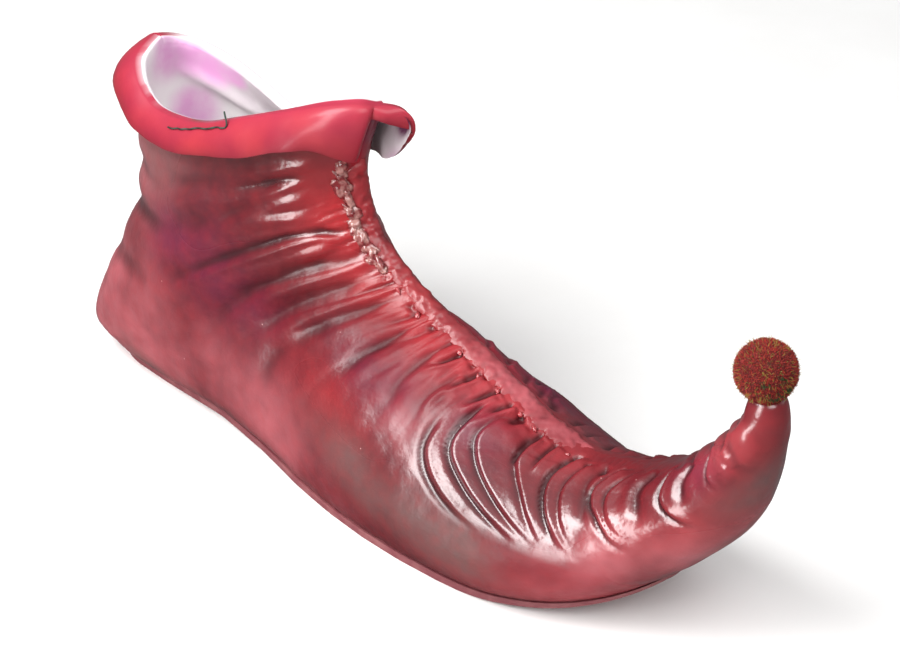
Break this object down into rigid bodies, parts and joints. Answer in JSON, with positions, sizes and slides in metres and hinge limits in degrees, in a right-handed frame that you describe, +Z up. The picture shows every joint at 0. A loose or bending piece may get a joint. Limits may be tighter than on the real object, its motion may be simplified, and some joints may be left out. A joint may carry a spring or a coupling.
{
  "type": "elf shoe",
  "caption": "Ankle-high costume elf shoe in cast latex with a gathered front seam, a turned-down cuff, a long toe that curls up and a pompom on its tip.",
  "frame": {"origin": "on the floor, under the middle of the shoe's bounding box", "axes": "+X runs from the heel to the toe, +Y to the wearer's left, +Z up"},
  "size_m": [0.3595, 0.0971, 0.1605],
  "materials": {
    "red_latex": "cast latex, brushed with dark red paint and glossy",
    "cuff_latex": "cast latex, brushed with bright red paint and glossy",
    "sole_latex": "matt grey-brown latex",
    "raw_latex": "bare pale latex with lilac stains",
    "pompom_pile": "short cut pile"
  },
  "bodies": {
    "root": {"upper": "red_latex", "cuff": "cuff_latex", "seam_strip": "red_latex", "sole": "sole_latex", "insole": "raw_latex", "pompom": "pompom_pile"}
  },
  "joints": []
}
